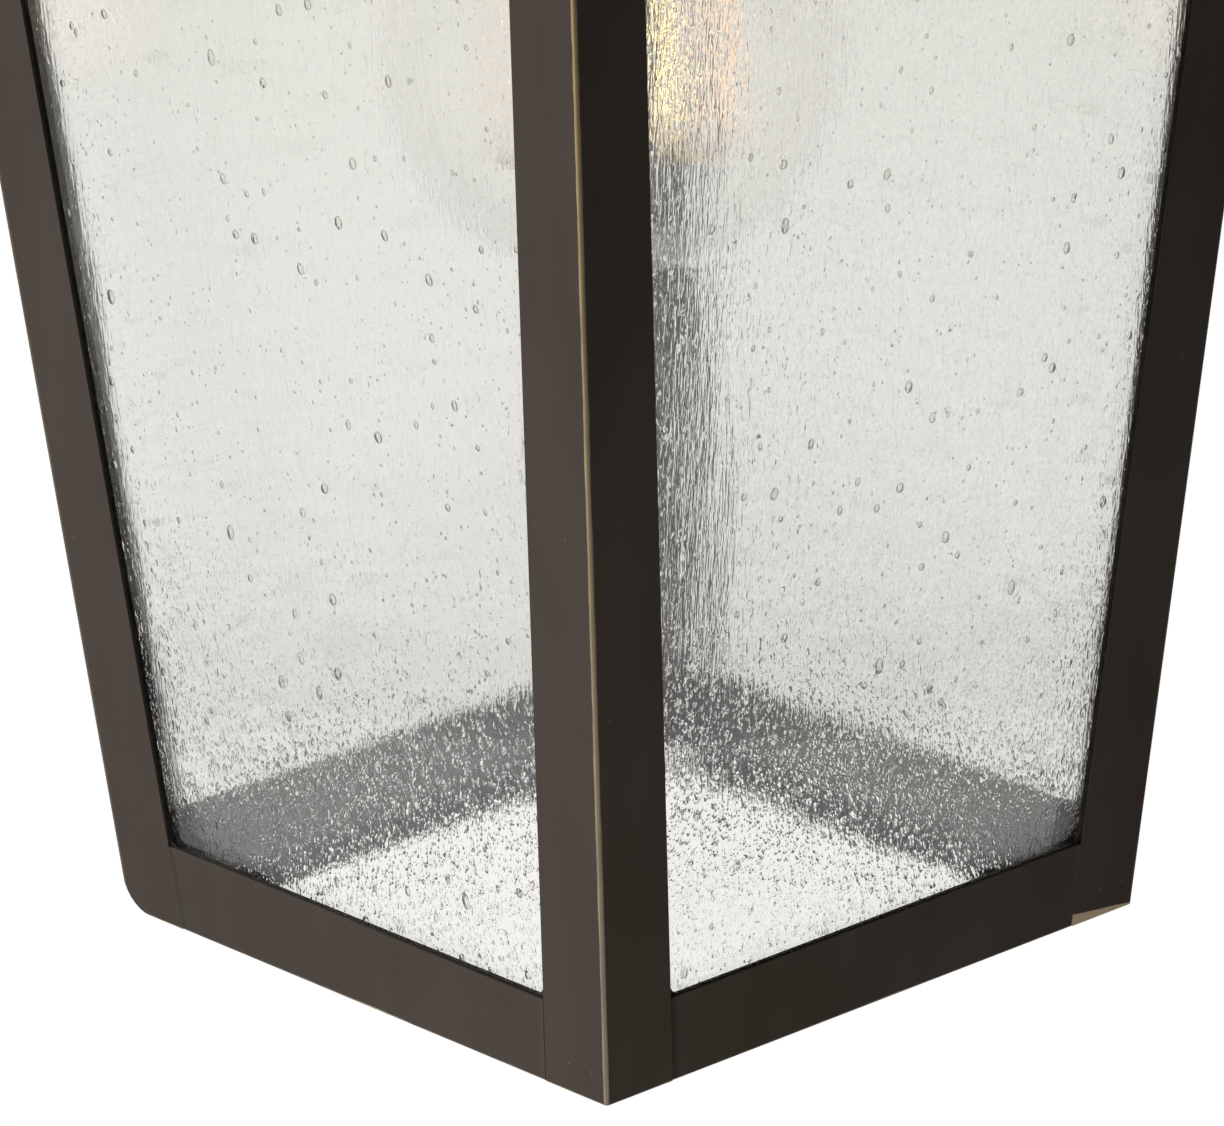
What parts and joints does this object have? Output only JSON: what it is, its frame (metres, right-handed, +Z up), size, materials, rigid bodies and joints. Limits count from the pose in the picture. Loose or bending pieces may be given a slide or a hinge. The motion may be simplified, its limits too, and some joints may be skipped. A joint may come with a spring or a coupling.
{
  "type": "outdoor wall lantern",
  "caption": "Tapering four-sided outdoor wall lantern: seeded glass panes in a bronze cage, pyramid roof, clear screw-in bulb, hooked arm and wall plate.",
  "frame": {"origin": "on the wall plane, behind the middle of the crossbar", "axes": "+Z up, +Y into the wall, so the lantern hangs out toward -Y; +X to the right of someone facing the wall"},
  "size_m": [0.16, 0.195, 0.3558],
  "materials": {
    "arm_bronze": "oil-rubbed dark bronze",
    "arm_nut_steel": "zinc plated",
    "bulb_glass": "clear",
    "cap_aluminium": "bright",
    "cap_bronze": "oil-rubbed dark bronze",
    "cap_insulator_black": "black",
    "chimney_bronze": "oil-rubbed dark bronze",
    "clip_bronze": "oil-rubbed dark bronze",
    "collar_bronze": "oil-rubbed dark bronze",
    "connector_orange": "ribbed",
    "contact_brass": "plain",
    "crossbar_steel": "zinc plated",
    "cup_bronze": "oil-rubbed dark bronze",
    "escutcheon_bronze": "oil-rubbed dark bronze",
    "filament_tungsten": "glowing wire",
    "gasket_foam": "closed-cell foam",
    "ground_copper": "bare copper",
    "ground_green": "green",
    "lead_black": "insulated",
    "lead_white": "insulated",
    "locknut_steel": "zinc plated",
    "nipple_steel": "zinc plated",
    "nut_bronze": "oil-rubbed dark bronze",
    "plate_bronze": "oil-rubbed dark bronze",
    "porcelain": "glazed white",
    "post_bronze": "oil-rubbed dark bronze",
    "rail_bronze": "oil-rubbed dark bronze",
    "roof_bronze": "oil-rubbed dark bronze",
    "seeded_glass": "clear seeded glass",
    "shell_brass": "plain",
    "solder_tin": "satin",
    "stem_glass": "clear",
    "strap_steel": "zinc plated",
    "stud_steel": "zinc plated",
    "support_nickel": "bright",
    "terminal_brass": "plain",
    "terminal_silver": "bright",
    "washer_bronze": "oil-rubbed dark bronze"
  },
  "bodies": {
    "lantern": {"arm_escutcheon": "escutcheon_bronze", "arm_locknut": "arm_nut_steel", "arm_tube": "arm_bronze", "bottom_rail_back": "rail_bronze", "bottom_rail_front": "rail_bronze", "bottom_rail_left": "rail_bronze", "bottom_rail_right": "rail_bronze", "cap_collar": "collar_bronze", "chimney_cap": "cap_bronze", "chimney_collar": "chimney_bronze", "connector_hot": "connector_orange", "connector_neutral": "connector_orange", "crossbar": "crossbar_steel", "glass_pane_back": "seeded_glass", "glass_pane_front": "seeded_glass", "glass_pane_left": "seeded_glass", "glass_pane_right": "seeded_glass", "ground_screw": "ground_green", "ground_wire": "ground_copper", "lead_hot": "lead_black", "lead_neutral": "lead_white", "nipple": "nipple_steel", "nipple_locknut": "locknut_steel", "pane_clip_back_left": "clip_bronze", "pane_clip_back_right": "clip_bronze", "pane_clip_front_left": "clip_bronze", "pane_clip_front_right": "clip_bronze", "post_back_left": "post_bronze", "post_back_right": "post_bronze", "post_front_left": "post_bronze", "post_front_right": "post_bronze", "roof": "roof_bronze", "socket_contact": "contact_brass", "socket_cup": "cup_bronze", "socket_insulator": "porcelain", "socket_screw_shell": "shell_brass", "socket_strap": "strap_steel", "socket_terminal_hot": "terminal_brass", "socket_terminal_neutral": "terminal_silver", "stud_left": "stud_steel", "stud_right": "stud_steel", "top_rail_back": "rail_bronze", "top_rail_front": "rail_bronze", "top_rail_left": "rail_bronze", "top_rail_right": "rail_bronze", "wall_gasket": "gasket_foam", "wall_plate": "plate_bronze"},
    "bulb_travel": {"bulb_tip": "solder_tin"},
    "bulb": {"bulb_glass": "bulb_glass", "bulb_stem": "stem_glass", "bulb_filament": "filament_tungsten", "bulb_support_left": "support_nickel", "bulb_support_right": "support_nickel", "bulb_cap": "cap_aluminium", "bulb_cap_insulator": "cap_insulator_black"},
    "nut_left_travel": {"washer_left": "washer_bronze"},
    "nut_left": {"cap_nut_left": "nut_bronze"},
    "nut_right_travel": {"washer_right": "washer_bronze"},
    "nut_right": {"cap_nut_right": "nut_bronze"}
  },
  "joints": [
    {"name": "bulb_travel", "type": "slide", "parent": "lantern", "child": "bulb_travel", "axis": [0, 0, 1], "range_m": [-0.01815, 0]},
    {"name": "bulb_turn", "type": "hinge", "parent": "bulb_travel", "child": "bulb", "pos_m": [0, -0.115, -0.1], "axis": [0, 0, 1], "range_deg": [-1800, 0]},
    {"name": "nut_left_travel", "type": "slide", "parent": "lantern", "child": "nut_left_travel", "axis": [0, -1, 0], "range_m": [0, 0.00954]},
    {"name": "nut_left_turn", "type": "hinge", "parent": "nut_left_travel", "child": "nut_left", "pos_m": [-0.047, -0.028, 0], "axis": [0, -1, 0], "range_deg": [0, 4320]},
    {"name": "nut_right_travel", "type": "slide", "parent": "lantern", "child": "nut_right_travel", "axis": [0, -1, 0], "range_m": [0, 0.00954]},
    {"name": "nut_right_turn", "type": "hinge", "parent": "nut_right_travel", "child": "nut_right", "pos_m": [0.047, -0.028, 0], "axis": [0, -1, 0], "range_deg": [0, 4320]}
  ],
  "couplings": [
    {"joint": "bulb_travel", "follows": "bulb_turn", "m_per_rad": 0.0005776},
    {"joint": "nut_left_travel", "follows": "nut_left_turn", "m_per_rad": 0.0001263},
    {"joint": "nut_right_travel", "follows": "nut_right_turn", "m_per_rad": 0.0001263}
  ]
}
